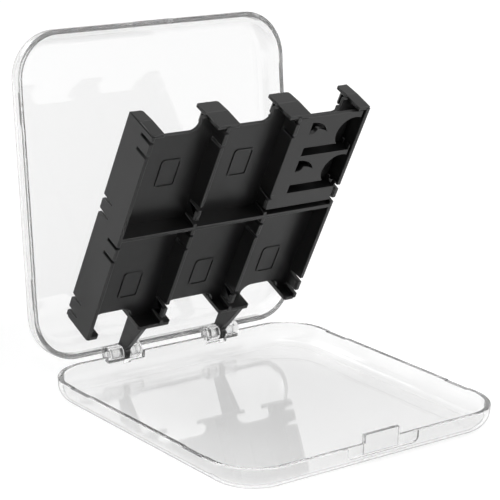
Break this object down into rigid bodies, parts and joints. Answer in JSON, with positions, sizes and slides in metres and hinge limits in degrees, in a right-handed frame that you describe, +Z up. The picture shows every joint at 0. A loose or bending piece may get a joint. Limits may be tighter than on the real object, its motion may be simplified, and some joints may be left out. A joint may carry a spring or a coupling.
{
  "type": "game cartridge case",
  "caption": "Clear folding case with rounded lid and base shells on a shared hinge and a black swing-out tray of snap-in card pockets and memory card slots.",
  "frame": {"origin": "centre of the base shell's flat underside", "axes": "+Z up out of the base, +X along the hinge, -Y towards the opening edge with the thumb scoop"},
  "size_m": [0.088, 0.1066, 0.0954],
  "materials": {
    "clear_shell": "clear, polished",
    "black_tray": "satin, fine moulded grain"
  },
  "bodies": {
    "base": {"base_shell": "clear_shell", "hinge_pin_left": "clear_shell", "hinge_pin_right": "clear_shell"},
    "lid": {"lid_shell": "clear_shell"},
    "tray": {"card_tray": "black_tray"}
  },
  "joints": [
    {"name": "lid_hinge", "type": "hinge", "parent": "base", "child": "lid", "pos_m": [0, 0.04505, 0.00665], "axis": [1, 0, 0], "range_deg": [0, 97]},
    {"name": "tray_hinge", "type": "hinge", "parent": "base", "child": "tray", "pos_m": [0, 0.04505, 0.00665], "axis": [1, 0, 0], "range_deg": [0, 64.67]}
  ],
  "couplings": [
    {"joint": "tray_hinge", "follows": "lid_hinge", "ratio": 0.66667}
  ]
}
